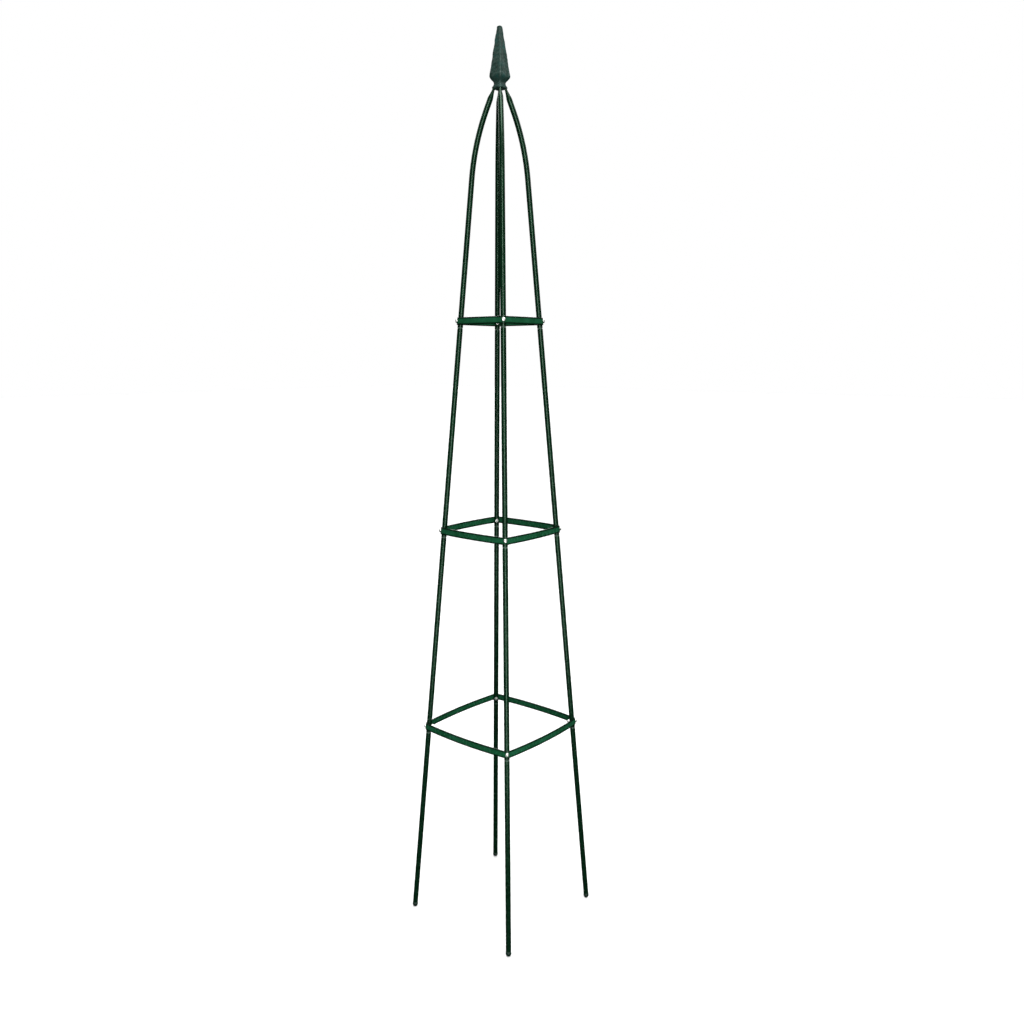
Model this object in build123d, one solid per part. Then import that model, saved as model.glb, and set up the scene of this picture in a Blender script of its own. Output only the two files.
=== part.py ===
from build123d import *
import os
from math import atan2, cos, degrees, radians, sin, sqrt, tan

os.makedirs("parts", exist_ok=True)

# Garden obelisk, in millimetres. Four leaning tube legs, each plugged together from four sections,
# are held square by three flat bands and run together into sockets under a spearhead finial.
# +Z is up. The origin is on the ground, midway between the four feet. The front is -Y.

# Overall sizes
overall_height = 2000.0
base_width = 310.0  # across the foot caps, along X and along Y

# Leg tube, and the plugged joints between its sections
tube_diameter = 12.0
tube_wall = 0.8
plug_gap = 0.15  # radial gap between a plugged piece and the bore around it
swage_length = 2.5  # cone between the full tube and its spigot
spigot_overrun = 22.0  # how far a spigot reaches past the screw that holds it
joint_reveal = 7.0  # how far below its band a joint shows

# Bend at the top of each leg
knee_drop = 111.0  # height from the finial's underside down to where the two straight runs would meet
bend_radius = 526.0
tip_angle = 20.5  # of the leg's last straight run, from the vertical
tip_diameter = 5.5
tip_cone_length = 20.0
tip_cone_reveal = 3.0  # plain stretch of tip that shows between the cone and the finial
tip_bore = 2.4

# Foot caps: a ball-ended head with a small flat sole, and a ribbed stem in the tube
cap_overhang = 0.5  # how far the head stands out past the tube all round
cap_sole_diameter = 5.0
cap_rim_height = 2.2
cap_rim_rounding = 1.2
cap_neck_height = 1.3
cap_stem_gap = 0.6  # between the stem and the tube's bore, which only the ribs bridge
cap_stem_length = 18.0
cap_rib_count = 3
cap_rib_height = 1.6
cap_rib_pitch = 5.0

# Bands: flat strip bent round the outside of the legs, each with its sides bowed out a little
lowest_band_height = 460.0
band_pitch = 467.0
band_names = ["bottom_band", "middle_band", "top_band"]
band_bows = [7.0, 5.0, 3.0]
band_width = 16.0
band_thickness = 2.0
band_gap = 0.15  # between a leg and the inside of a band's corner

# Screws and nuts
screw_diameter = 5.0
thread_gap = 0.05  # radial gap between a screw and its nut
hole_gap = 0.25  # radial gap between a screw and the holes it passes through
seat_gap = 0.05  # under a screw head, and under a nut
head_diameter = 9.0
head_height = 3.2
head_rounding = 2.2
recess_width = 1.1
recess_length = 5.2
recess_depth = 1.8
nut_across_flats = 8.0
nut_height = 4.0
screw_overrun = 1.7  # how far a screw stands out of its nut

# Finial: collar, neck and a four-sided spearhead with rounded edges
finial_height = 124.0
collar_half_diagonal = 16.4
collar_height = 3.0
neck_half_diagonal = 12.4
neck_height = 10.0
throat_half_diagonal = 14.6
throat_height = 14.0
shoulder_half_diagonal = 22.0
shoulder_height = 25.0
shoulder_underside = 5.0  # how far the rounded underside of the shoulder reaches below its widest place
shoulder_tuck = 1.8  # how much narrower that underside is
point_half_diagonal = 5.9
point_rounding = 3.4
collar_rounding = 7.0
neck_rounding = 6.0
shoulder_rounding = 4.0
point_corner_rounding = 2.4
socket_radius = 12.5  # from the centre line to each leg's centre, at the finial's underside
socket_depth = 12.0
socket_end_gap = 0.5

# Corner legs, by their angle about the centre line
corners = {
    "back_right": 45.0,
    "back_left": 135.0,
    "front_left": 225.0,
    "front_right": 315.0,
}

# Each leg lies in the vertical plane through its corner. Here it is drawn in the XZ plane,
# where x is the distance from the centre line, and then turned to its corner.
tube_radius = tube_diameter / 2
tube_bore_radius = tube_radius - tube_wall
cap_radius = tube_radius + cap_overhang
cap_stem_radius = tube_bore_radius - cap_stem_gap
cap_centre_height = sqrt(cap_radius**2 - (cap_sole_diameter / 2) ** 2)
foot_radius = (base_width / 2 - cap_radius) * sqrt(2)
finial_base_height = overall_height - finial_height
knee_height = finial_base_height - knee_drop
knee_radius = socket_radius + knee_drop * tan(radians(tip_angle))
lean_angle = degrees(atan2(foot_radius - knee_radius, knee_height - cap_centre_height))
lean = radians(lean_angle)
tip = radians(tip_angle)

band_heights = [lowest_band_height + band_pitch * i for i in range(len(band_names))]
joint_drop = band_width / 2 + joint_reveal
spigot_length = joint_drop + spigot_overrun
hole_radius = screw_diameter / 2 + hole_gap


def leg_radius(height):
    """Distance from the centre line to the axis of a leg's straight run, at a height."""
    return foot_radius - (height - cap_centre_height) * tan(lean)


def along_leg(height):
    """Distance along a leg's axis from the centre of its foot cap, at a height."""
    return (height - cap_centre_height) / cos(lean)


def leg_frame():
    """Frame of a leg's straight run: origin at the foot cap's centre, z up along the leg."""
    origin = (foot_radius, 0, cap_centre_height)
    return Plane(origin=origin, x_dir=(0, 1, 0), z_dir=(-sin(lean), 0, cos(lean))).location


def tip_frame():
    """Frame of a leg's tip: origin in the finial's underside, z up along the tip."""
    origin = (socket_radius, 0, finial_base_height)
    return Plane(origin=origin, x_dir=(0, 1, 0), z_dir=(-sin(tip), 0, cos(tip))).location


def screw_frame(height):
    """Frame of a screw: origin on the leg's axis, z out through the band, square to the leg."""
    origin = (leg_radius(height), 0, height)
    return Plane(origin=origin, x_dir=(0, 1, 0), z_dir=(cos(lean), 0, sin(lean))).location


def turned(points):
    """Solid of revolution about Z from an outline of (radius, height) points."""
    outline = Polyline(*[(radius, 0, height) for radius, height in points], close=True)
    return revolve(make_face(outline), Axis.Z, 360)


def screw_hole(height):
    """Hole across a leg and its band, for one screw."""
    return screw_frame(height) * Cylinder(hole_radius, 4 * tube_diameter)


def straight_tube(low, shoulder):
    """Tube whose top is swaged down to a spigot, from low to shoulder along the leg."""
    spigot_radius = tube_bore_radius - plug_gap
    spigot_bore_radius = spigot_radius - tube_wall
    cone_start = shoulder - swage_length
    spigot_end = shoulder + spigot_length
    outline = [
        (tube_bore_radius, low),
        (tube_radius, low),
        (tube_radius, cone_start),
        (spigot_radius, shoulder),
        (spigot_radius, spigot_end),
        (spigot_bore_radius, spigot_end),
        (spigot_bore_radius, shoulder),
        (tube_bore_radius, cone_start),
    ]
    return leg_frame() * turned(outline)


def foot_tube():
    """Lowest section: the foot cap is in its lower end, and a spigot is on its upper end."""
    low = cap_rim_height + cap_neck_height
    return straight_tube(low, along_leg(band_heights[0]) - joint_drop) - screw_hole(band_heights[0])


def middle_tube(index):
    """Section between two bands: it slips over the spigot below and carries one for the next."""
    low = along_leg(band_heights[index]) - joint_drop
    shoulder = along_leg(band_heights[index + 1]) - joint_drop
    body = straight_tube(low, shoulder)
    return body - screw_hole(band_heights[index]) - screw_hole(band_heights[index + 1])


def top_tube():
    """Highest section: straight, bent inwards to the tip's angle, then drawn down to a thin tip."""
    low = along_leg(band_heights[-1]) - joint_drop
    start = (leg_frame() * Pos(0, 0, low)).position
    knee = Vector(knee_radius, 0, knee_height)
    cone_end = -tip_cone_reveal
    cone_start = cone_end - tip_cone_length
    finish = (tip_frame() * Pos(0, 0, cone_start)).position
    path = FilletPolyline(start, knee, finish, radius=bend_radius)
    section_plane = Plane(origin=start, z_dir=path % 0)
    tip_end = socket_depth - socket_end_gap
    tip_radius = tip_diameter / 2

    outer = sweep(section_plane * Circle(tube_radius), path)
    outer += tip_frame() * turned(
        [(0, cone_start), (tube_radius, cone_start), (tip_radius, cone_end), (tip_radius, tip_end), (0, tip_end)]
    )
    inner = sweep(section_plane * Circle(tube_bore_radius), path)
    inner += tip_frame() * turned(
        [
            (0, cone_start),
            (tube_bore_radius, cone_start),
            (tip_bore / 2, cone_end),
            (tip_bore / 2, tip_end),
            (0, tip_end),
        ]
    )
    return outer - inner - screw_hole(band_heights[-1])


def foot_cap():
    """Push-in cap: a ball cut off flat by the ground, a rounded rim, a neck and a ribbed stem."""
    neck_top = cap_rim_height + cap_neck_height
    stem_end = neck_top + cap_stem_length
    head = Sphere(cap_radius)
    head -= Pos(0, 0, cap_radius) * Box(3 * cap_radius, 3 * cap_radius, 2 * cap_radius)
    rim = Cylinder(cap_radius, cap_rim_height, align=(Align.CENTER, Align.CENTER, Align.MIN))
    rim = fillet(rim.edges().group_by(Axis.Z)[-1], cap_rim_rounding)
    stem = Pos(0, 0, cap_rim_height / 2) * Cylinder(
        cap_stem_radius, stem_end - cap_rim_height / 2, align=(Align.CENTER, Align.CENTER, Align.MIN)
    )
    cap = head + rim + stem
    rib_radius = tube_bore_radius - plug_gap
    for i in range(cap_rib_count):
        rib_top = stem_end - i * cap_rib_pitch
        rib_low = rib_top - cap_rib_height
        cap += turned(
            [(0, rib_low), (rib_radius, rib_low), (cap_stem_radius, rib_top), (0, rib_top)]
        )
    ground = Pos(foot_radius, 0, -4 * cap_radius) * Box(8 * cap_radius, 8 * cap_radius, 8 * cap_radius)
    return leg_frame() * cap - ground


def band_outline(half_spacing, corner_radius, bow, height):
    """Closed face: a square with round corners about the legs and sides bowed out between them.

    Each side is an arc that touches both of its corner circles from outside: with c the half
    spacing and b the bow, its centre is (c^2 - b^2) / 2b - c behind the band's centre.
    """
    reach = (half_spacing**2 - bow**2) / (2 * bow)
    near = half_spacing + corner_radius * half_spacing / (reach + bow)
    far = half_spacing + corner_radius * reach / (reach + bow)
    crown = half_spacing + corner_radius + bow
    crest = half_spacing + corner_radius / sqrt(2)
    side = ThreePointArc((far, -near), (crown, 0), (far, near))
    corner = ThreePointArc((far, near), (crest, crest), (near, far))
    edges = []
    for quarter in range(4):
        edges += [Rot(0, 0, 90 * quarter) * side, Rot(0, 0, 90 * quarter) * corner]
    return Pos(0, 0, height) * make_face(Wire(edges))


def band(height, bow):
    """Flat strip ring, leaning inwards with the legs that it is wrapped around."""
    inner_radius = tube_radius + band_gap
    low = height - band_width / 2
    high = height + band_width / 2

    def prism(corner_radius):
        faces = [band_outline(leg_radius(z) / sqrt(2), corner_radius, bow, z) for z in (low, high)]
        return loft(faces, ruled=True)

    ring = prism(inner_radius + band_thickness) - prism(inner_radius)
    for angle in corners.values():
        ring -= Rot(0, 0, angle) * screw_hole(height)
    return ring


def screw(height):
    """Pan-head screw with a cross recess, in from outside the band."""
    seat = tube_radius + band_gap + band_thickness + seat_gap
    end = tube_radius + seat_gap + nut_height + screw_overrun
    head = Cylinder(head_diameter / 2, head_height, align=(Align.CENTER, Align.CENTER, Align.MIN))
    head = fillet(head.edges().group_by(Axis.Z)[-1], head_rounding)
    for angle in (0, 90):
        slot = Rot(0, 0, angle) * Box(recess_length, recess_width, 2 * recess_depth)
        head -= Pos(0, 0, head_height) * slot
    shank = Pos(0, 0, -end) * Cylinder(
        screw_diameter / 2, end + seat + head_height / 4, align=(Align.CENTER, Align.CENTER, Align.MIN)
    )
    return screw_frame(height) * (Pos(0, 0, seat) * head + shank)


def nut(height):
    """Hexagon nut on the inner side of the leg, with its corners chamfered at both faces."""
    corner_radius = nut_across_flats / sqrt(3)
    chamfer_size = corner_radius - nut_across_flats / 2
    blank = extrude(RegularPolygon(corner_radius, 6), nut_height)
    keep = Cylinder(corner_radius, nut_height, align=(Align.CENTER, Align.CENTER, Align.MIN))
    keep = chamfer(keep.edges(), chamfer_size)
    bore = Cylinder(screw_diameter / 2 + thread_gap, 4 * nut_height)
    low = -(tube_radius + seat_gap + nut_height)
    return screw_frame(height) * Pos(0, 0, low) * ((blank & keep) - bore)


def finial_section(height, half_diagonal, rounding):
    """Square with round corners, its corners over the legs."""
    side = sqrt(2) * (half_diagonal + rounding * (sqrt(2) - 1))
    return Pos(0, 0, finial_base_height + height) * RectangleRounded(side, side, rounding)


def finial():
    """Collar, neck and spearhead in one solid, with a blind socket for each leg's tip."""
    underside_height = shoulder_height - shoulder_underside
    underside_half_diagonal = shoulder_half_diagonal - shoulder_tuck
    point_height = finial_height - point_rounding
    sections = [
        finial_section(0, collar_half_diagonal, collar_rounding),
        finial_section(collar_height, collar_half_diagonal, collar_rounding),
        finial_section(neck_height, neck_half_diagonal, neck_rounding),
        finial_section(throat_height, throat_half_diagonal, shoulder_rounding),
        finial_section(underside_height, underside_half_diagonal, shoulder_rounding),
        finial_section(shoulder_height, shoulder_half_diagonal, shoulder_rounding),
        finial_section(point_height, point_half_diagonal, point_corner_rounding),
        finial_section(finial_height, point_half_diagonal - point_rounding, point_corner_rounding / 2),
    ]
    body = loft(sections, ruled=True)
    socket = tip_frame() * Cylinder(tip_diameter / 2 + plug_gap, 2 * socket_depth)
    for angle in corners.values():
        body -= Rot(0, 0, angle) * socket
    return body


def write(shape, node):
    export_step(shape, f"parts/{node}.step")


leg_pieces = {
    "foot_cap": foot_cap(),
    "foot_tube": foot_tube(),
    "lower_tube": middle_tube(0),
    "upper_tube": middle_tube(1),
    "top_tube": top_tube(),
}
for corner, angle in corners.items():
    for piece, shape in leg_pieces.items():
        write(Rot(0, 0, angle) * shape, f"{corner}_{piece}")

for name, height, bow in zip(band_names, band_heights, band_bows):
    write(band(height, bow), name)
    write(Compound(children=[Rot(0, 0, angle) * screw(height) for angle in corners.values()]), f"{name}_screws")
    write(Compound(children=[Rot(0, 0, angle) * nut(height) for angle in corners.values()]), f"{name}_nuts")

write(finial(), "finial")

print("lean angle", round(lean_angle, 3), "foot radius", round(foot_radius, 2))
print("leg radius at the bands", [round(leg_radius(height), 2) for height in band_heights])
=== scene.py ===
import bpy
import math
import numpy as np
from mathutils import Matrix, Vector


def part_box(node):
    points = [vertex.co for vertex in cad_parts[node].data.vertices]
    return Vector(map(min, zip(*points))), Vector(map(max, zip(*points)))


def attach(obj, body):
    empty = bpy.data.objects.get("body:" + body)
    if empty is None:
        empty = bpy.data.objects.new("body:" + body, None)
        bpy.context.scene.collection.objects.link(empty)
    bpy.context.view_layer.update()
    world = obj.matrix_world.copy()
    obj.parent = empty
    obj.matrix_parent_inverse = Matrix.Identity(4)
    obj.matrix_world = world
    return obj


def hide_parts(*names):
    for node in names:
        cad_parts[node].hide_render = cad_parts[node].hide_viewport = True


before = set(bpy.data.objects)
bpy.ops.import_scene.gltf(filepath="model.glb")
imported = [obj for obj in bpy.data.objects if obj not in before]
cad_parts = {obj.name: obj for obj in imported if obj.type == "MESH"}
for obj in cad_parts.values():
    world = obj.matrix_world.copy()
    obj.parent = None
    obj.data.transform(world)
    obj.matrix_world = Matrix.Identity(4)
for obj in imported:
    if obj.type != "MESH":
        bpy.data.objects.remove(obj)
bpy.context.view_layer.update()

# the angle of each leg about the centre line
corners = {"backRight": 45, "backLeft": 135, "frontLeft": 225, "frontRight": 315}
bands = ["bottom", "middle", "top"]
sharpFrom = math.radians(42)  # edges sharper than this aren't shaded smooth


def nodeName(corner, piece):
    side = {"backRight": "back_right", "backLeft": "back_left",
            "frontLeft": "front_left", "frontRight": "front_right"}[corner]
    return side + "_" + piece


# the points of a CAD node in the plane of its leg: (distance from the centre line, height, sideways)
def planePoints(node, angle):
    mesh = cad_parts[node].data
    flat = np.empty(len(mesh.vertices) * 3, np.float32)
    mesh.vertices.foreach_get("co", flat)
    x, y, z = flat.reshape(-1, 3).astype(float).T
    a = math.radians(angle)
    return np.column_stack([x * math.cos(a) + y * math.sin(a), z, y * math.cos(a) - x * math.sin(a)])


# quads of a grid of rows * columns points; columns always wrap, rows wrap where asked
def gridFaces(rows, columns, wrapRows):
    row = np.arange(rows if wrapRows else rows - 1)[:, None]
    column = np.arange(columns)[None, :]
    nextRow, nextColumn = (row + 1) % rows, (column + 1) % columns
    near, far = row * columns, nextRow * columns
    quads = [near + column, near + nextColumn, far + nextColumn, far + column]
    return np.stack(quads, -1).reshape(-1, 4)


# a closed skin from a grid of points: a ring of rings, or rings with a point at each end
def closedSkin(points, wrapRows=True):
    rows, columns = points.shape[:2]
    verts = points.reshape(-1, 3)
    quads = gridFaces(rows, columns, wrapRows)
    tris = np.empty((0, 3), int)
    if not wrapRows:
        first, last = len(verts), len(verts) + 1
        verts = np.vstack([verts, points[0].mean(0), points[-1].mean(0)])
        here = np.arange(columns)
        ahead = (here + 1) % columns
        top = (rows - 1) * columns
        tris = np.vstack([np.column_stack([ahead, here, np.full(columns, first)]),
                          np.column_stack([top + here, top + ahead, np.full(columns, last)])])
    # volume = sum of v0 . (v1 x v2) / 6 over the triangles; below zero the skin is inside out
    triangles = verts[np.vstack([quads[:, [0, 1, 2]], quads[:, [0, 2, 3]], tris])]
    volume = np.einsum("ij,ij->i", triangles[:, 0], np.cross(triangles[:, 1], triangles[:, 2])).sum()
    if volume < 0:
        quads, tris = quads[:, ::-1], tris[:, ::-1]
    return verts, quads, tris


# several skins in one mesh object, smooth shaded, with values from 0 to 1 at its points, such as wear
def makePiece(name, skins, material, **values):
    verts, faces, offset = [], [], 0
    for skinVerts, quads, tris in skins:
        verts.append(skinVerts)
        faces += (quads + offset).tolist() + (tris + offset).tolist()
        offset += len(skinVerts)
    mesh = bpy.data.meshes.new(name)
    mesh.from_pydata(np.vstack(verts).tolist(), [], faces)
    mesh.polygons.foreach_set("use_smooth", np.ones(len(faces), bool))
    mesh.set_sharp_from_angle(angle=sharpFrom)
    for value, amounts in values.items():
        layer = mesh.attributes.new(value, "FLOAT", "POINT")
        layer.data.foreach_set("value", np.asarray(amounts, np.float32))
    mesh.materials.append(material)
    piece = bpy.data.objects.new(name, mesh)
    bpy.context.scene.collection.objects.link(piece)
    return piece


def standsFor(piece, node):
    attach(piece, "root")
    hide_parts(node)


# (out, up, side) in a leg's plane to x, y, z, for the leg at that angle
def toFrame(out, up, side, angle):
    a = math.radians(angle)
    return np.stack([out * math.cos(a) - side * math.sin(a), out * math.sin(a) + side * math.cos(a), up], -1)


# 0 below a, 1 above b, and 3t^2 - 2t^3 between
def smooth(a, b, x):
    t = np.clip((x - a) / (b - a), 0, 1)
    return t * t * (3 - 2 * t)


def newMaterial(name):
    material = bpy.data.materials.new(name)
    material.use_nodes = True
    tree = material.node_tree
    return material, tree, tree.nodes["Principled BSDF"]


def node(tree, kind, **values):
    made = tree.nodes.new(kind)
    for key, value in values.items():
        if key in made.inputs:
            made.inputs[key].default_value = value
        else:
            setattr(made, key, value)
    return made


# noise on Object coordinates, in waves per metre
def noise(tree, scale, detail=2.0, roughness=0.5):
    coordinates = node(tree, "ShaderNodeTexCoord")
    made = node(tree, "ShaderNodeTexNoise", Scale=scale, Detail=detail, Roughness=roughness)
    tree.links.new(coordinates.outputs["Object"], made.inputs["Vector"])
    return made.outputs["Fac"]


def ramp(tree, source, stops):
    made = node(tree, "ShaderNodeValToRGB")
    elements = made.color_ramp.elements
    while len(elements) < len(stops):
        elements.new(0.5)
    for element, (place, colour) in zip(elements, stops):
        element.position = place
        element.color = (*colour, 1) if len(colour) == 3 else colour
    tree.links.new(source, made.inputs["Fac"])
    return made.outputs["Color"]


def mapRange(tree, source, low, high, toLow, toHigh):
    made = node(tree, "ShaderNodeMapRange")
    made.inputs["From Min"].default_value = low
    made.inputs["From Max"].default_value = high
    made.inputs["To Min"].default_value = toLow
    made.inputs["To Max"].default_value = toHigh
    tree.links.new(source, made.inputs["Value"])
    return made.outputs["Result"]


def times(tree, first, second):
    made = node(tree, "ShaderNodeMath", operation="MULTIPLY")
    tree.links.new(first, made.inputs[0])
    tree.links.new(second, made.inputs[1])
    return made.outputs[0]


def mixColour(tree, amount, first, second):
    made = node(tree, "ShaderNodeMix", data_type="RGBA")
    for place, value in ((0, amount), (6, first), (7, second)):
        if isinstance(value, bpy.types.NodeSocket):
            tree.links.new(value, made.inputs[place])
        else:
            made.inputs[place].default_value = value if place == 0 else (*value, 1)
    return made.outputs[2]


# bumps are laid over one another; each is (height source, strength, distance in metres)
def bumps(tree, shader, layers):
    last = None
    for height, strength, distance in layers:
        made = node(tree, "ShaderNodeBump", Strength=strength, Distance=distance)
        tree.links.new(height, made.inputs["Height"])
        if last is not None:
            tree.links.new(last, made.inputs["Normal"])
        last = made.outputs["Normal"]
    tree.links.new(last, shader.inputs["Normal"])


coating = {
    # deep, middle, light
    "tube": [(0.0013, 0.014, 0.0048), (0.0021, 0.021, 0.0076), (0.0038, 0.032, 0.0125)],
    "strip": [(0.0095, 0.082, 0.032), (0.0135, 0.112, 0.047), (0.0210, 0.142, 0.070)],
    "places": (0.32, 0.52, 0.72),  # where the three tones stand in the patches
    "worn": (0.22, 0.30, 0.26),
    "edgeShadeTone": (0.0006, 0.006, 0.002),  # painted shade: the dark tone laid along the strip's top and bottom edges
    "sheen": (0.62, 1.0, 0.74),
    "specular": 0.6,
    "roughness": (0.20, 0.31),
    "patches": 38,  # waves per metre, as are the next two
    "sheenPatches": 170,
    "grit": 2600,
    "gritShown": (0.15, 0.9),
    "peel": (420, 0.35, 0.00012),  # waves per metre, strength, depth
    "pits": (1600, 0.20, 0.00003),
}


# dark green coating: gently patchy depth of colour, orange peel, rubbed thin where wear is high,
# with painted shade darkening it where the piece carries edge shade values
def greenCoating(name, tones, peel, edged):
    material, tree, shader = newMaterial(name)
    patches = noise(tree, coating["patches"], 5.0, 0.65)
    colour = ramp(tree, patches, list(zip(coating["places"], coating[tones])))
    if edged:
        # painted shade: the piece's edge values darken the coating along the strip's edges
        edge = node(tree, "ShaderNodeAttribute", attribute_name="edge")
        colour = mixColour(tree, edge.outputs["Fac"], colour, coating["edgeShadeTone"])
    wear = node(tree, "ShaderNodeAttribute", attribute_name="wear")
    grit = mapRange(tree, noise(tree, coating["grit"], 3.0, 0.7), 0.40, 0.60, *coating["gritShown"])
    rubbed = mixColour(tree, times(tree, wear.outputs["Fac"], grit), colour, coating["worn"])
    tree.links.new(rubbed, shader.inputs["Base Color"])
    gloss = mapRange(tree, noise(tree, coating["sheenPatches"], 4.0), 0.3, 0.7, *coating["roughness"])
    tree.links.new(gloss, shader.inputs["Roughness"])
    shader.inputs["Specular IOR Level"].default_value = coating["specular"]
    shader.inputs["Specular Tint"].default_value = (*coating["sheen"], 1)
    peelScale, peelStrength, peelDepth = coating["peel"]
    pitScale, pitStrength, pitDepth = coating["pits"]
    bumps(tree, shader, [(noise(tree, peelScale), peelStrength * peel, peelDepth),
                         (noise(tree, pitScale), pitStrength, pitDepth)])
    return material


finialFinish = {
    "tones": [(0.011, 0.036, 0.027), (0.020, 0.060, 0.047), (0.022, 0.100, 0.088)],  # dark, body, teal
    "places": (0.28, 0.50, 0.72),
    "dusty": (0.10, 0.150, 0.130),
    "roughness": (0.42, 0.60),
    "patches": 70,  # waves per metre, as are the next two
    "dullPatches": 300,
    "specks": 900,
    "pitting": (260, 3.0, 0.5, 0.5, 0.0004),  # waves per metre, detail, its roughness, strength, depth
    "sand": (1100, 3.0, 0.6, 0.5, 0.00012),
}


# grey-green casting: patches of three tones, high spots dusty, fine sand texture over the hammered shape
def greyGreenCasting(name):
    material, tree, shader = newMaterial(name)
    patches = noise(tree, finialFinish["patches"], 5.0, 0.6)
    colour = ramp(tree, patches, list(zip(finialFinish["places"], finialFinish["tones"])))
    wear = node(tree, "ShaderNodeAttribute", attribute_name="wear")
    specks = mapRange(tree, noise(tree, finialFinish["specks"], 4.0, 0.7), 0.45, 0.70, 0.0, 1.0)
    dusted = mixColour(tree, times(tree, wear.outputs["Fac"], specks), colour, finialFinish["dusty"])
    tree.links.new(dusted, shader.inputs["Base Color"])
    dull = mapRange(tree, noise(tree, finialFinish["dullPatches"], 3.0), 0.3, 0.7, *finialFinish["roughness"])
    tree.links.new(dull, shader.inputs["Roughness"])
    layers = []
    for scale, detail, fineness, strength, depth in (finialFinish["pitting"], finialFinish["sand"]):
        layers.append((noise(tree, scale, detail, fineness), strength, depth))
    bumps(tree, shader, layers)
    return material


capFinish = {
    "tones": [(0.002, 0.012, 0.007), (0.006, 0.030, 0.018)],
    "roughness": (0.30, 0.46),
    "patches": 300,  # waves per metre, as is the next
    "dullPatches": 700,
    "grain": (1500, 0.3, 0.00004),  # waves per metre, strength, depth
}


# near-black green plastic with a faint moulded grain
def capPlastic(name):
    material, tree, shader = newMaterial(name)
    colour = ramp(tree, noise(tree, capFinish["patches"], 3.0), list(zip((0.3, 0.7), capFinish["tones"])))
    tree.links.new(colour, shader.inputs["Base Color"])
    dull = mapRange(tree, noise(tree, capFinish["dullPatches"], 3.0), 0.3, 0.7, *capFinish["roughness"])
    tree.links.new(dull, shader.inputs["Roughness"])
    scale, strength, depth = capFinish["grain"]
    bumps(tree, shader, [(noise(tree, scale, 3.0), strength, depth)])
    return material


zincFinish = {
    "tones": [(0.72, 0.73, 0.70), (0.84, 0.85, 0.81), (0.90, 0.90, 0.86)],
    "places": (0.3, 0.55, 0.75),
    "roughness": (0.26, 0.42),
    "clouds": 420,  # waves per metre, as is the next
    "scuffs": 1200,
    "grain": (900, 0.15, 0.00003),  # waves per metre, strength, depth
}


# bright zinc plate: cloudy passivation and fine scuffs
def zincPlate(name):
    material, tree, shader = newMaterial(name)
    clouds = noise(tree, zincFinish["clouds"], 4.0, 0.6)
    colour = ramp(tree, clouds, list(zip(zincFinish["places"], zincFinish["tones"])))
    tree.links.new(colour, shader.inputs["Base Color"])
    shader.inputs["Metallic"].default_value = 1.0
    scuffs = mapRange(tree, noise(tree, zincFinish["scuffs"], 3.0), 0.3, 0.7, *zincFinish["roughness"])
    tree.links.new(scuffs, shader.inputs["Roughness"])
    scale, strength, depth = zincFinish["grain"]
    bumps(tree, shader, [(noise(tree, scale), strength, depth)])
    return material


tubeGreen = greenCoating("tubeGreen", "tube", 0.35, False)
bandGreen = greenCoating("bandGreen", "strip", 1.2, True)
castGreen = greyGreenCasting("castGreen")
footPlastic = capPlastic("footPlastic")
zinc = zincPlate("zinc")
print("materials made")


legTop = {
    "bendRadius": 0.526,
    "tipAngle": math.radians(20.5),
    "coneLength": 0.020,
    "coneReveal": 0.003,  # plain tip that shows under the finial
    "tipRadius": 0.00275,
    "tipBore": 0.0012,
}


# centre of the points at one end of a node, seen along a direction in the leg's plane
def endCentre(points, direction, highest):
    reach = points[:, :2] @ direction * (1 if highest else -1)
    return points[reach > reach.max() - 0.0002][:, :2].mean(0)


sample = "frontRight"
upperPoints = planePoints(nodeName(sample, "upper_tube"), corners[sample])
middle = upperPoints[:, :2].mean(0)
alongLeg = np.linalg.svd(upperPoints[:, :2] - middle, full_matrices=False)[2][0]
alongLeg = alongLeg * np.sign(alongLeg[1])
legLow, legHigh = endCentre(upperPoints, alongLeg, False), endCentre(upperPoints, alongLeg, True)
alongLeg = (legHigh - legLow) / np.linalg.norm(legHigh - legLow)
lean = math.atan2(-alongLeg[0], alongLeg[1])
tubeRadius = np.ptp(upperPoints[:, 2]) / 2

tipAngle = legTop["tipAngle"]
alongTip = np.array([-math.sin(tipAngle), math.cos(tipAngle)])
tipEnd = endCentre(planePoints(nodeName(sample, "top_tube"), corners[sample]), alongTip, True)
finialLow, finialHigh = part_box("finial")

# the leg starts at the ground; the two straight runs meet at the knee
groundPoint = legLow - alongLeg * legLow[1] / alongLeg[1]
toKnee, backToKnee = np.linalg.solve(np.column_stack([alongLeg, -alongTip]), tipEnd - groundPoint)
kneeCut = legTop["bendRadius"] * math.tan((tipAngle - lean) / 2)
bendStart = toKnee - kneeCut
bendEnd = bendStart + legTop["bendRadius"] * (tipAngle - lean)
legEnd = bendEnd - backToKnee - kneeCut


# the leg's centre line by distance s from the ground: straight, an arc of radius R from the lean a to the
# tip's angle b, and straight again
# turn = a + (s - bendStart) / R, held between a and b
# out = out0 - sin a * s1 - R (cos a - cos turn) - sin b * s3
# up = cos a * s1 + R (sin turn - sin a) + cos b * s3
def legLine(s):
    radius = legTop["bendRadius"]
    turn = lean + np.clip((s - bendStart) / radius, 0, tipAngle - lean)
    first, last = np.minimum(s, bendStart), np.maximum(s - bendEnd, 0)
    bendIn = radius * (math.cos(lean) - np.cos(turn))
    bendUp = radius * (np.sin(turn) - math.sin(lean))
    out = groundPoint[0] - math.sin(lean) * first - bendIn - math.sin(tipAngle) * last
    up = math.cos(lean) * first + bendUp + math.cos(tipAngle) * last
    return out, up, turn


def legRadiusAt(height):
    return groundPoint[0] - math.tan(lean) * height


# how far along the leg a node reaches, from its points
def legReach(node):
    points = planePoints(node, corners[sample])
    reach = (points[:, :2] - groundPoint) @ alongLeg
    return reach.min(), reach.max()


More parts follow.
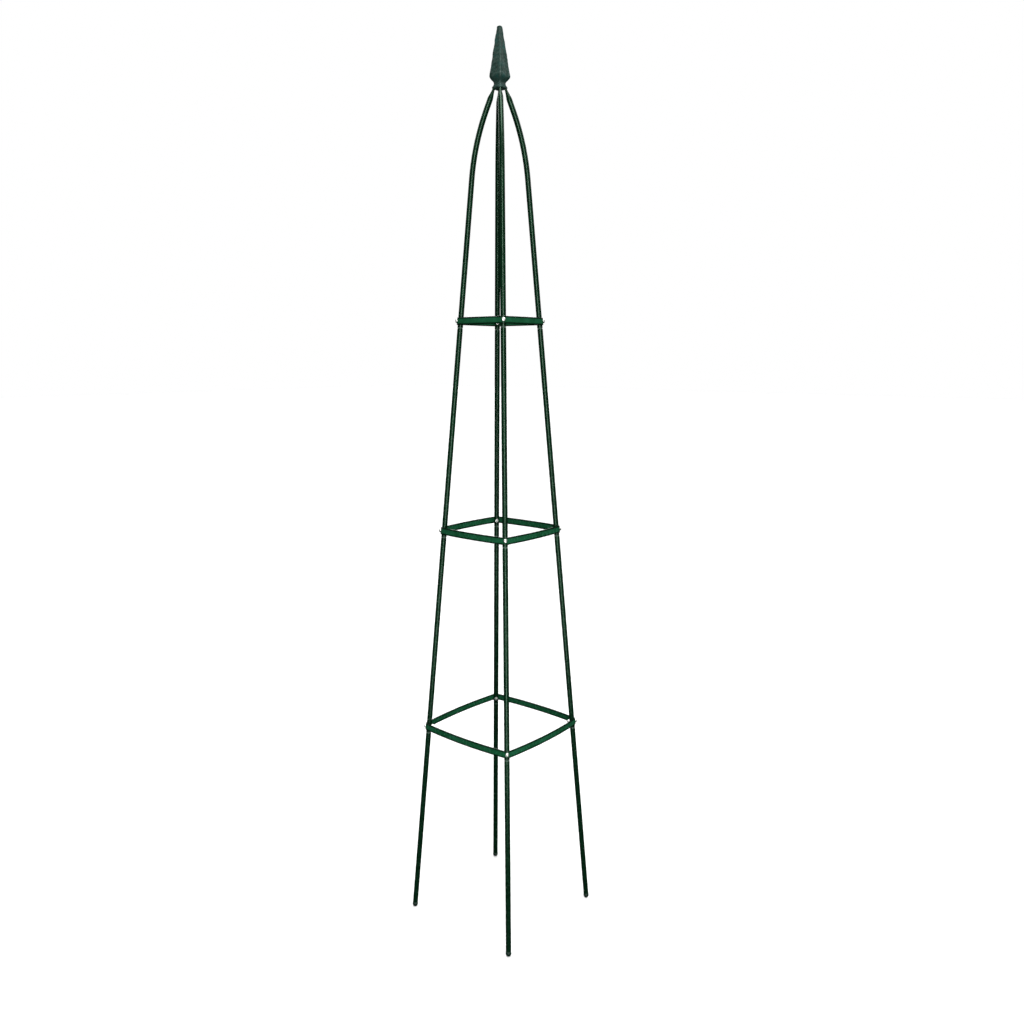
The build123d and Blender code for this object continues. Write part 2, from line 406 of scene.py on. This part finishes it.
print("leg leans %.2f degrees, straight for %.3f m" % (math.degrees(lean), bendStart))


tube = {
    "wall": 0.0008,
    "plugGap": 0.00015,
    "swageLength": 0.0025,
    "spigotLength": 0.037,
    "sides": 48,
    "ringStep": 0.012,
    "closeRings": [0.0007, 0.0016, 0.003, 0.0055],
    "rimSteps": 7,
    "ringGap": 0.0004,  # keeps even rings clear of a cone's first and last
    "plugConeSteps": 7,
    "tipConeSteps": 25,
    "tipSteps": 8,
    "reveal": 0.007,  # plain spigot left open under a joint
    "wearReach": 0.0012,
    "spigotWear": 0.75,
}


# half-round rim of a tube's end, from one radius to the other: centre half a wall inside the end
def rim(end, fromRadius, toRadius, upward):
    half = abs(toRadius - fromRadius) / 2
    turn = np.linspace(0, math.pi, tube["rimSteps"])
    radius = (fromRadius + toRadius) / 2 + (fromRadius - toRadius) / 2 * np.cos(turn)
    return end + half * (np.sin(turn) - 1) * (1 if upward else -1), radius


# rings along the leg: each point is centre(s) + radius * (cos t * across + sin t * sideways),
# where across = (cos turn, sin turn)
def ringsAlongLeg(s, radius, angle, sides):
    out, up, turn = (v[:, None] for v in legLine(s))
    t = np.linspace(0, 2 * math.pi, sides, endpoint=False)[None, :]
    ring = radius[:, None] * np.cos(t)
    return toFrame(out + ring * np.cos(turn), up + ring * np.sin(turn), radius[:, None] * np.sin(t), angle)


# even rings from start to end, with closer ones over the last few millimetres at each end
def stretch(start, end):
    even = np.linspace(start, end, int((end - start) / tube["ringStep"]) + 2)
    near = np.array(tube["closeRings"])
    return np.unique(np.concatenate([even, start + near, end - near]))


# wear is greatest at the cut ends and dies away as exp(-(distance / reach)^2)
# the open spigot is rubbed all along
def endWear(s, ends, spigot=None):
    wear = np.max([np.exp(-((s - end) / tube["wearReach"]) ** 2) for end in ends], 0)
    if spigot is not None:
        shown = (s > spigot) & (s < spigot + 2 * tube["reveal"])
        wear = np.maximum(wear, tube["spigotWear"] * shown)
    return wear


# a tube that ends in a spigot: the outside up, round the rim, and the bore back down
def plugTube(name, node, angle):
    low, high = legReach(nodeName(sample, node))
    bore = tubeRadius - tube["wall"]
    spigot = bore - tube["plugGap"]
    spigotBore = spigot - tube["wall"]
    shoulder = high - tube["spigotLength"]
    coneStart = shoulder - tube["swageLength"]
    bottomS, bottomR = rim(low, bore, tubeRadius, False)
    topS, topR = rim(high, spigot, spigotBore, True)
    outside = stretch(low + tube["wall"], coneStart - tube["ringGap"])
    plug = stretch(shoulder + tube["ringGap"], high - tube["wall"])
    cone = np.linspace(coneStart, shoulder, tube["plugConeSteps"])
    ease = smooth(coneStart, shoulder, cone)
    s = np.concatenate([bottomS, outside, cone, plug, topS, plug[::-1], cone[::-1], outside[::-1]])
    coneOut = tubeRadius + (spigot - tubeRadius) * ease
    coneIn = bore + (spigotBore - bore) * ease
    r = np.concatenate([bottomR, np.full(len(outside), tubeRadius), coneOut, np.full(len(plug), spigot),
                        topR, np.full(len(plug), spigotBore), coneIn[::-1], np.full(len(outside), bore)])
    points = ringsAlongLeg(s, r, angle, tube["sides"])
    wear = np.repeat(endWear(s, [low, shoulder], shoulder), tube["sides"])
    return makePiece(name, [closedSkin(points)], tubeGreen, wear=wear)


# the top tube: straight, bent, and drawn down to its tip half by a smooth step, half evenly
def bentTube(name, node, angle):
    low = legReach(nodeName(sample, node))[0]
    bore = tubeRadius - tube["wall"]
    coneEnd = legEnd - (tipEnd[1] - finialLow[2]) / math.cos(tipAngle) - legTop["coneReveal"]
    coneStart = coneEnd - legTop["coneLength"]
    bottomS, bottomR = rim(low, bore, tubeRadius, False)
    topS, topR = rim(legEnd, legTop["tipRadius"], legTop["tipBore"], True)
    shaft = np.concatenate([stretch(low + tube["wall"], bendStart), stretch(bendStart, coneStart)[1:-1]])
    cone = np.linspace(coneStart, coneEnd, tube["tipConeSteps"])
    even = (cone - coneStart) / (coneEnd - coneStart)
    ease = (smooth(coneStart, coneEnd, cone) + even) / 2
    tip = np.linspace(coneEnd, legEnd - legTop["tipRadius"] / 2, tube["tipSteps"])[1:]
    s = np.concatenate([bottomS, shaft, cone, tip, topS, tip[::-1], cone[::-1], shaft[::-1]])
    coneOut = tubeRadius + (legTop["tipRadius"] - tubeRadius) * ease
    coneIn = bore + (legTop["tipBore"] - bore) * ease
    tipOut = np.full(len(tip), legTop["tipRadius"])
    tipIn = np.full(len(tip), legTop["tipBore"])
    r = np.concatenate([bottomR, np.full(len(shaft), tubeRadius), coneOut, tipOut,
                        topR, tipIn, coneIn[::-1], np.full(len(shaft), bore)])
    points = ringsAlongLeg(s, r, angle, tube["sides"])
    wear = np.repeat(endWear(s, [low]), tube["sides"])
    return makePiece(name, [closedSkin(points)], tubeGreen, wear=wear)


for corner, angle in corners.items():
    for part in ("foot_tube", "lower_tube", "upper_tube"):
        piece = plugTube(corner + part.title().replace("_", ""), part, angle)
        standsFor(piece, nodeName(corner, part))
    piece = bentTube(corner + "TopTube", "top_tube", angle)
    standsFor(piece, nodeName(corner, "top_tube"))
print("tubes made")


footCap = {
    "overhang": 0.0005,
    "soleRadius": 0.0025,
    "rimHeight": 0.0022,
    "rimRounding": 0.0012,
    "neckHeight": 0.0013,
    "stemRadius": 0.0046,
    "ribs": 3,
    "ribHeight": 0.0016,
    "ribPitch": 0.005,
    "ribBack": 0.0001,
    "ribLead": 0.0002,
    "sides": 48,
}


# profile in (distance along the leg from the ball's centre, radius):
# the ball, its rounded rim, the neck, and the stem with its barbed ribs
def capProfile():
    ball = tubeRadius + footCap["overhang"]
    rounding, rimTop = footCap["rimRounding"], footCap["rimHeight"]
    turn = np.linspace(-math.pi / 2, 0, 16)[1:]
    corner = np.linspace(0, math.pi / 2, 6)
    neckTop = rimTop + footCap["neckHeight"]
    stemEnd = legReachTop - centreAlong
    s = [ball * np.sin(turn), rimTop - rounding + rounding * np.sin(corner), [rimTop, neckTop]]
    r = [ball * np.cos(turn), ball - rounding + rounding * np.cos(corner), [footCap["stemRadius"]] * 2]
    ribRadius = tubeRadius - tube["wall"] - tube["plugGap"]
    stem, lead = footCap["stemRadius"], footCap["ribLead"]
    for i in range(footCap["ribs"] - 1, -1, -1):
        top = stemEnd - i * footCap["ribPitch"]
        barb = top - footCap["ribHeight"]
        s.append([barb - footCap["ribBack"], barb, top - lead, top])
        r.append([stem, ribRadius, stem + lead, stem])
    return np.concatenate(s), np.concatenate(r)


ballRadius = tubeRadius + footCap["overhang"]
centreHeight = math.sqrt(ballRadius ** 2 - footCap["soleRadius"] ** 2)
centreAlong = centreHeight / math.cos(lean)
legReachTop = legReach(nodeName(sample, "foot_cap"))[1]
for corner, angle in corners.items():
    s, r = capProfile()
    points = ringsAlongLeg(s + centreAlong, r, angle, footCap["sides"])
    points[..., 2] = np.maximum(points[..., 2], 0)  # the ground presses the ball's underside flat
    piece = makePiece(corner + "FootCap", [closedSkin(points, False)], footPlastic)
    standsFor(piece, nodeName(corner, "foot_cap"))
print("foot caps made")


band = {
    "thickness": 0.002,
    "gap": 0.00015,
    "edgeRadius": 0.0007,
    "sideSteps": 28,
    "cornerSteps": 18,
    "weldWidth": 0.0016,
    "weldRise": 0.00035,
    "weldWear": 0.6,
    "edgeShade": (0.11, 0.26),  # shares of the width over which the painted edge shade fades out
    "flatPlaces": [0.03, 0.10, 0.18, 0.28, 0.72, 0.82, 0.90, 0.97],  # shares of the flat, up the strip
}


# outline of a band by the angle p that it faces, over a quarter from -45 to 45 degrees:
# on a side it is an arc about a point far behind, on a corner an arc about the leg
# reach = (c^2 - b^2) / 2b, side when |p| <= atan(c / reach)
def bandOutline(face, quarter, halfSpacing, radius, bow):
    reach = (halfSpacing ** 2 - bow ** 2) / (2 * bow)
    big = reach + bow + radius
    onSide = np.abs(face) <= math.atan2(halfSpacing, reach) + 1e-9
    x = np.where(onSide, halfSpacing - reach + big * np.cos(face), halfSpacing + radius * np.cos(face))
    y = np.where(onSide, big * np.sin(face), np.sign(face) * halfSpacing + radius * np.sin(face))
    return x * np.cos(quarter) - y * np.sin(quarter), x * np.sin(quarter) + y * np.cos(quarter)


# section of the strip, across the thickness 0 to 1 and up the width 0 to 1, with quarter-round edges
def stripSection(width):
    t, e = band["thickness"], band["edgeRadius"]
    turn = np.linspace(0, math.pi / 2, 5)
    across, up = [], []
    for cx, cy, start in ((t - e, e, -90), (t - e, width - e, 0), (e, width - e, 90), (e, e, 180)):
        a = turn + math.radians(start)
        across.append(cx + e * np.cos(a))
        up.append(cy + e * np.sin(a))
        flat = np.array(band["flatPlaces"])
        if start == -90:
            across.append(np.full(len(flat), t))
            up.append(e + flat * (width - 2 * e))
        if start == 90:
            across.append(np.zeros(len(flat)))
            up.append(width - e - flat * (width - 2 * e))
    return np.concatenate(across) / t, np.concatenate(up) / width


# the strip's section carried round the outline, which is narrower at the top edge than at the bottom one
def bandSkin(name):
    low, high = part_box(name + "_band")
    width = high[2] - low[2]
    inner = tubeRadius + band["gap"]
    spacings = [legRadiusAt(z) / math.sqrt(2) for z in (low[2], high[2])]
    bow = high[0] - spacings[0] - inner - band["thickness"]
    sideEnd = math.atan2(spacings[0], (spacings[0] ** 2 - bow ** 2) / (2 * bow))
    side = np.linspace(-sideEnd, sideEnd, band["sideSteps"])
    corner = np.linspace(sideEnd, math.pi / 2 - sideEnd, band["cornerSteps"])[1:-1]
    past = corner > math.pi / 4  # the corner's second half belongs to the next side
    face = np.concatenate([side, corner - past * math.pi / 2])
    shift = np.concatenate([np.zeros(len(side)), past])
    face = np.tile(face, 4)[:, None]
    quarter = (np.tile(shift, 4) + np.repeat(np.arange(4), len(shift)))[:, None] * math.pi / 2
    across, up = stripSection(width)
    # the strip's ends are butt welded in the middle of the back: the bead stands proud of both faces
    x, y = bandOutline(face, quarter, spacings[0], inner, bow)
    weld = np.exp(-(x / band["weldWidth"]) ** 2) * (y > 0)
    radius = inner + band["thickness"] * across[None, :] + band["weldRise"] * weld * (2 * across[None, :] - 1)
    lower = np.stack(bandOutline(face, quarter, spacings[0], radius, bow), -1)
    upper = np.stack(bandOutline(face, quarter, spacings[1], radius, bow), -1)
    level = lower + (upper - lower) * up[None, :, None]
    height = np.broadcast_to((low[2] + up * width)[None, :, None], level.shape[:2] + (1,))
    points = np.concatenate([level, height], -1)
    # painted shade: darkest at the strip's top and bottom edges, fading out towards its middle
    edge = np.tile(1 - smooth(*band["edgeShade"], np.minimum(up, 1 - up)), len(points))
    wear = band["weldWear"] * np.broadcast_to(weld, points.shape[:2]).ravel()
    return closedSkin(points), edge, wear


for name in bands:
    skin, edge, wear = bandSkin(name)
    piece = makePiece(name + "Band", [skin], bandGreen, edge=edge, wear=wear)
    standsFor(piece, name + "_band")
print("bands made")


screw = {
    "radius": 0.0025,
    "headRadius": 0.0045,
    "headHeight": 0.0032,
    "rounding": 0.0022,
    "crown": 0.00025,
    "brim": 0.0002,
    "seatGap": 0.00005,
    "overrun": 0.0017,
    "pitch": 0.0008,
    "threadDepth": 0.00035,
    "threadLength": 0.0031,
    "threadFade": 0.0005,
    "threadSteps": 42,
    "endTaper": 0.0005,
    "endTaperLength": 0.0006,
    "recessLength": 0.0052,
    "recessWidth": 0.0011,
    "recessDepth": 0.0018,
    "wallSlope": (0.30, 0.62),  # shares of the recess's width
    "endSlope": (0.18, 0.50),  # shares of the recess's length
    "topSteps": 22,
    "edgeSteps": 10,
    "sides": 72,
}
nut = {
    "flats": 0.008,
    "height": 0.004,
    "chamfer": 0.0005,
    "faceShare": 0.95,  # of the width across flats, where the chamfer starts
    "cornerShare": 1.14,  # of the width across flats, where the corners are cut off
    "clearance": 0.00005,
    "boreChamfer": 0.0004,
    "sides": 96,
}


# a skin drawn about the screw's own axis, (across, across, along), put through the leg at a height
def acrossLeg(x, y, z, height, angle):
    out = legRadiusAt(height) + z * math.cos(lean) - y * math.sin(lean)
    up = height + z * math.sin(lean) + y * math.cos(lean)
    return toFrame(out, up, x, angle)


# depth of the cross recess at x, y: two crossed slots with sloping walls, shallower to their ends
def recess(x, y):
    def slot(a, b):
        wall = 1 - smooth(*screw["wallSlope"], np.abs(a) / screw["recessWidth"])
        end = 1 - smooth(*screw["endSlope"], np.abs(b) / screw["recessLength"])
        return wall * end
    return screw["recessDepth"] * np.maximum(slot(x, y), slot(y, x))


# head, shank and threaded end as rings about the axis; the thread's radius is
# r - depth * triangle(z / pitch - t / 2 pi), fading in from the shank and tapered at the end
def screwSkin(height, angle, twist):
    t = np.linspace(0, 2 * math.pi, screw["sides"], endpoint=False)[None, :]
    seat = tubeRadius + band["gap"] + band["thickness"] + screw["seatGap"]
    end = -(tubeRadius + screw["seatGap"] + nut["height"] + screw["overrun"])
    radius, big, rise = screw["radius"], screw["headRadius"], screw["headHeight"]
    rounding, brim = screw["rounding"], screw["brim"]
    flat = big - rounding
    turn = np.linspace(math.pi / 2, 0, screw["edgeSteps"])[:, None]
    flatR = np.linspace(0, flat, screw["topSteps"])[1:-1][:, None]
    crown = screw["crown"] * (1 - (flatR / flat) ** 2)
    topR = np.concatenate([flatR, flat + rounding * np.cos(turn)])
    topZ = np.concatenate([rise + crown, rise - rounding + rounding * np.sin(turn)])
    dug = recess(topR * np.cos(t), topR * np.sin(t)) * (topR < big - rounding / 2)
    headZ = seat + topZ - dug
    underR = np.array([big, big - brim, radius + brim, radius])[:, None] + 0 * t
    underZ = seat + np.array([brim, 0, 0, -brim])[:, None] + 0 * t
    threadTop = end + screw["threadLength"]
    shankZ = np.linspace(seat - brim, threadTop + 0.0001, 6)[1:][:, None] + 0 * t
    threadZ = np.linspace(threadTop, end, screw["threadSteps"])[:, None] + 0 * t
    phase = threadZ / screw["pitch"] - t / (2 * math.pi)
    cut = smooth(threadTop, threadTop - screw["threadFade"], threadZ)
    tooth = np.abs(2 * (phase - np.floor(phase)) - 1) * cut
    taper = screw["endTaper"] * smooth(end + screw["endTaperLength"], end, threadZ)
    threadR = radius - screw["threadDepth"] * tooth - taper
    r = np.concatenate([topR + 0 * t, underR, radius + 0 * shankZ, threadR])
    z = np.concatenate([headZ, underZ, shankZ, threadZ])
    return closedSkin(acrossLeg(r * np.cos(t + twist), r * np.sin(t + twist), z, height, angle), False)


# hexagon of radius (flats / 2) / cos(t mod 60 - 30), cut at both faces by a cone, about a plain bore
def nutSkin(height, angle, twist):
    t = np.linspace(0, 2 * math.pi, nut["sides"], endpoint=False)[None, :]
    sixth = math.pi / 3
    flat, high = nut["flats"] / 2, nut["height"]
    hexagon = np.minimum(flat / np.cos((t % sixth) - sixth / 2), flat * nut["cornerShare"])
    face, bore, bevel = flat * nut["faceShare"], screw["radius"] + nut["clearance"], nut["boreChamfer"]
    rise = np.linspace(0, nut["chamfer"], 5)[:, None]
    chamferR = np.minimum(hexagon, face + rise * math.tan(math.pi / 3))
    inside = np.array([bore, bore, bore + bevel])[:, None] + 0 * t
    insideZ = np.array([high * 0.4, bevel, 0])[:, None] + 0 * t
    sideZ = np.array([high * 0.4, high * 0.6])[:, None] + 0 * t
    r = np.concatenate([inside, chamferR, hexagon + 0 * sideZ, chamferR[::-1], inside[::-1]])
    z = np.concatenate([insideZ, rise + 0 * t, sideZ, high - rise[::-1] + 0 * t, high - insideZ[::-1]])
    start = -(tubeRadius + screw["seatGap"] + high)
    return closedSkin(acrossLeg(r * np.cos(t + twist), r * np.sin(t + twist), start + z, height, angle))


rng = np.random.default_rng(11)
for name in bands:
    low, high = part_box(name + "_band")
    height = (low[2] + high[2]) / 2
    turns = rng.uniform(0, math.pi, (2, len(corners)))  # no two screws are driven to the same turn
    screws = [screwSkin(height, angle, turns[0][i]) for i, angle in enumerate(corners.values())]
    nuts = [nutSkin(height, angle, turns[1][i]) for i, angle in enumerate(corners.values())]
    standsFor(makePiece(name + "BandScrews", screws, zinc), name + "_band_screws")
    standsFor(makePiece(name + "BandNuts", nuts, zinc), name + "_band_nuts")
print("screws and nuts made")


finial = {
    # millimetres above the collar's underside, half diagonal, rounding of the corners
    "profile": [
        (0, 15.6, 7),
        (0.8, 16.4, 7),
        (2.6, 16.4, 7),
        (3.6, 15.8, 7),
        (7, 13.1, 6.4),
        (10, 12.4, 6),
        (12.4, 13.0, 5),
        (14.5, 14.9, 4.2),
        (17, 17.6, 4),
        (20, 20.2, 4),
        (22.6, 21.7, 4),
        (25, 22.0, 4),
        (27.5, 21.7, 3.8),
        (34, 20.5, 3.6),
        (120.6, 6.0, 2.4),
        (122.4, 5.6, 2.3),
        (123.6, 4.6, 2.0),
        (124, 3.2, 1.6),
    ],
    "rows": 210,
    "sides": 256,
    "smoothing": 5,  # rows averaged to round the profile
    "dish": 0.0004,
    "swell": 0.00030,
    "hammer": 0.00012,
    "seam": 0.00016,
    "seamWidth": 0.0006,
    "swellWaves": (0.026, 10, 4),  # size, how many, seed
    "hammerWaves": (0.008, 24, 9),
    "bladeStart": (0.13, 0.2),  # shares of the height
    "bladeEnd": (0.94, 0.99),
    "calmEnds": 0.03,
    "calmCollar": 0.35,  # how much of the lumps the collar has
    "dust": {"even": 0.30, "highSpots": 0.45, "ridges": 0.06, "seam": 0.2},
    "undersideRings": [0.25, 0.5, 0.97],  # shares of the collar's outline
    "socketRadius": 0.0029,
    "socketEndGap": 0.0005,
    "socketRun": 0.016,  # from below the collar to the tip's end
    "socketSides": 32,
}


# smooth seeded lumps of about that size: the sum of sin(k . p + phase) over waves in all directions
def lumps(x, y, z, size, count, seed):
    waves = np.random.default_rng(seed)
    direction = waves.normal(size=(count, 3))
    direction /= np.linalg.norm(direction, axis=1)[:, None]
    scale = 2 * math.pi / size * waves.uniform(0.7, 1.3, count)
    phase = waves.uniform(0, 2 * math.pi, count)
    total = 0
    for k, p in zip(direction * scale[:, None], phase):
        total = total + np.sin(k[0] * x + k[1] * y + k[2] * z + p)
    return total / math.sqrt(count / 2)


# a rounded square by angle t, folded to 45 degrees: with d its half diagonal, c the rounding of its corners
# and a = (d - c) / sqrt 2, a side is r = (a + c) / cos t
# and a corner is r = a (cos t + sin t) + sqrt(c^2 - a^2 (cos t - sin t)^2)
def roundedSquare(t, halfDiagonal, rounding):
    fold = np.abs((t + math.pi / 4) % (math.pi / 2) - math.pi / 4)
    a = (halfDiagonal - rounding) / math.sqrt(2)
    side = (a + rounding) / np.cos(fold)
    inside = np.maximum(rounding ** 2 - (a * (np.cos(fold) - np.sin(fold))) ** 2, 0)
    corner = a * (np.cos(fold) + np.sin(fold)) + np.sqrt(inside)
    return np.where(np.tan(fold) < a / (a + rounding), side, corner)


# rings up the profile, spaced evenly along its line; each is dished by dish * cos(2 t)^2 between its corners,
# swollen and dented by lumps, and crossed by the mould's seam, which runs up two opposite corners
def finialSkin():
    up, halfDiagonal, rounding = np.array(finial["profile"]).T / 1000
    along = np.concatenate([[0], np.cumsum(np.hypot(np.diff(up), np.diff(halfDiagonal)))])
    place = np.linspace(0, along[-1], finial["rows"])
    kernel = np.hanning(finial["smoothing"] + 2)[1:-1]
    pad = finial["smoothing"] // 2

    def column(values):
        rings = np.interp(place, along, values)
        padded = np.concatenate([np.full(pad, rings[0]), rings, np.full(pad, rings[-1])])
        return np.convolve(padded, kernel / kernel.sum(), "valid")[:, None]

    height = column(up) * (finialHigh[2] - finialLow[2]) / up[-1]
    height[0], height[-1] = 0, finialHigh[2] - finialLow[2]
    w = column(halfDiagonal)
    t = np.linspace(0, 2 * math.pi, finial["sides"], endpoint=False)[None, :]
    r = roundedSquare(t, w, column(rounding))
    x, y, z = r * np.cos(t), r * np.sin(t), finialLow[2] + height + 0 * t
    share = height / height[-1]
    blade = smooth(*finial["bladeStart"], share) * (1 - smooth(*finial["bladeEnd"], share))
    face = np.cos(2 * t) ** 2
    swell = lumps(x, y, z, *finial["swellWaves"])
    hammer = lumps(x, y, z, *finial["hammerWaves"])
    calm, collar = finial["calmEnds"], finial["calmCollar"]
    start = smooth(0, calm, share)
    body = collar * start * (1 - smooth(1 - calm, 1, share)) + (1 - collar) * blade
    fromSeam = np.abs((t + math.pi / 4) % math.pi - math.pi / 2) * r
    seam = np.exp(-(fromSeam / finial["seamWidth"]) ** 2)
    rise = body * (finial["swell"] * swell + finial["hammer"] * hammer)
    rise = rise - finial["dish"] * blade * face * w / w.max()
    rise = rise + finial["seam"] * seam * start * (1 - smooth(1 - calm - 0.01, 1, share))
    dust = finial["dust"]
    ridges = (1 - face) ** 3 * blade
    wear = dust["even"] + dust["highSpots"] * hammer * body + dust["ridges"] * ridges + dust["seam"] * seam
    wear = np.clip(wear, 0, 1)
    points = np.stack([(r + rise) * np.cos(t), (r + rise) * np.sin(t), z], -1)
    inward = np.array(finial["undersideRings"])[:, None, None] * points[0] * (1, 1, 0) + (0, 0, finialLow[2])
    points = np.concatenate([inward, points])
    wear = np.concatenate([np.full(inward.shape[:2], 0.2), wear])
    return closedSkin(points, False), np.append(wear.ravel(), [0.2, 0.5])


# a blind hole for each leg's tip: sleeves along the legs' lines, taken away from the casting
def cutSockets(piece):
    s = np.array([legEnd - finial["socketRun"], legEnd + finial["socketEndGap"]])
    radius = np.full(2, finial["socketRadius"])
    rings = [ringsAlongLeg(s, radius, angle, finial["socketSides"]) for angle in corners.values()]
    sleeves = [closedSkin(points, False) for points in rings]
    cutter = makePiece("sleeves", sleeves, castGreen)
    cut = piece.modifiers.new("sockets", "BOOLEAN")
    cut.object, cut.operation, cut.solver = cutter, "DIFFERENCE", "EXACT"
    bpy.context.view_layer.update()
    graph = bpy.context.evaluated_depsgraph_get()
    mesh = bpy.data.meshes.new_from_object(piece.evaluated_get(graph), depsgraph=graph)
    piece.modifiers.clear()
    piece.data = mesh
    mesh.set_sharp_from_angle(angle=sharpFrom)
    bpy.data.objects.remove(cutter)


skin, wear = finialSkin()
piece = makePiece("spearheadFinial", [skin], castGreen, wear=wear)
cutSockets(piece)
standsFor(piece, "finial")
print("finial made")


studio = {
    "floorSize": 60.0,
    "floorColour": (0.93, 0.93, 0.93),
    "background": 1.0,
    "sunDistance": 5,
    "aimHeight": 1.3,
    "surroundings": (0.012, 0.018, 0.016),  # what the object reflects between the lights
}


def makeFloor():
    half = studio["floorSize"] / 2
    mesh = bpy.data.meshes.new("floor")
    outline = [(-half, -half, 0), (half, -half, 0), (half, half, 0), (-half, half, 0)]
    mesh.from_pydata(outline, [], [(0, 1, 2, 3)])
    material, _, shader = newMaterial("floorPaper")
    shader.inputs["Base Color"].default_value = (*studio["floorColour"], 1)
    shader.inputs["Roughness"].default_value = 0.9
    shader.inputs["Specular IOR Level"].default_value = 0.1
    mesh.materials.append(material)
    floor = bpy.data.objects.new("floor", mesh)
    floor.visible_glossy = False  # dark coated tubes keep their dark edges
    floor.visible_diffuse = False
    bpy.context.scene.collection.objects.link(floor)


def makeWorld():
    world = bpy.data.worlds.new("studio")
    bpy.context.scene.world = world
    world.use_nodes = True
    tree = world.node_tree
    seen, lit = tree.nodes["Background"], tree.nodes.new("ShaderNodeBackground")
    seen.inputs["Color"].default_value = (1, 1, 1, 1)
    seen.inputs["Strength"].default_value = studio["background"]
    lit.inputs["Color"].default_value = (*studio["surroundings"], 1)
    rays, mix = tree.nodes.new("ShaderNodeLightPath"), tree.nodes.new("ShaderNodeMixShader")
    tree.links.new(rays.outputs["Is Camera Ray"], mix.inputs[0])
    tree.links.new(lit.outputs[0], mix.inputs[1])
    tree.links.new(seen.outputs[0], mix.inputs[2])
    tree.links.new(mix.outputs[0], tree.nodes["World Output"].inputs["Surface"])


# soft sun: angle round the object, angle above the floor, spread, strength
sky = {
    "above": (61, 56, 30, 1.5),
    "overhead": (220, 84, 60, 2.2),
    "behind": (220, 32, 30, 1.3),
}
# panels aimed at the object: angle round it, distance, height of the middle, width, height, power
panels = {
    "front": (43, 1.50, 1.22, 0.22, 2.5, 20),
    "left": (-82, 2.8, 3.0, 1.2, 1.2, 9),
    "right": (162, 2.8, 3.0, 1.2, 1.2, 9),
    "rear": (223, 2.6, 3.0, 1.4, 1.4, 16),
}


def aimed(name, data, place, target):
    lamp = bpy.data.objects.new(name, data)
    lamp.location = place
    lamp.rotation_euler = Vector(np.subtract(target, place)).to_track_quat("-Z", "Y").to_euler()
    lamp.visible_camera = False
    bpy.context.scene.collection.objects.link(lamp)


def makeLights():
    for name, (turn, rise, spread, strength) in sky.items():
        data = bpy.data.lights.new(name, "SUN")
        data.angle, data.energy = math.radians(spread), strength
        a, e = math.radians(turn), math.radians(rise)
        towards = np.array([math.sin(a) * math.cos(e), -math.cos(a) * math.cos(e), math.sin(e)])
        aimed(name, data, towards * studio["sunDistance"], (0, 0, 0))
    for name, (turn, distance, height, width, tall, power) in panels.items():
        data = bpy.data.lights.new(name, "AREA")
        data.shape, data.size, data.size_y, data.energy = "RECTANGLE", width, tall, power
        a = math.radians(turn)
        place = (math.sin(a) * distance, -math.cos(a) * distance, height)
        aimed(name, data, place, (0, 0, min(height, studio["aimHeight"])))


camera = {
    "azimuth": 40.0,  # round the object from the front
    "distance": 2.068,
    "height": 1.316,
    "aside": 0.026,
    "down": 9.55,
    "lens": 32.34,
    "sensor": 36,
}


def makeCamera():
    data = bpy.data.cameras.new("camera")
    data.lens, data.sensor_width = camera["lens"], camera["sensor"]
    eye = bpy.data.objects.new("camera", data)
    a = math.radians(camera["azimuth"])
    away = np.array([math.sin(a), -math.cos(a)])
    right = np.array([math.cos(a), math.sin(a)])
    eye.location = (*(away * camera["distance"] + right * camera["aside"]), camera["height"])
    eye.rotation_euler = (math.radians(90 - camera["down"]), 0, a)
    bpy.context.scene.collection.objects.link(eye)
    bpy.context.scene.camera = eye


makeFloor()
makeWorld()
makeLights()
makeCamera()
bpy.context.scene.view_settings.view_transform = "Standard"
print("floor, light and camera made")
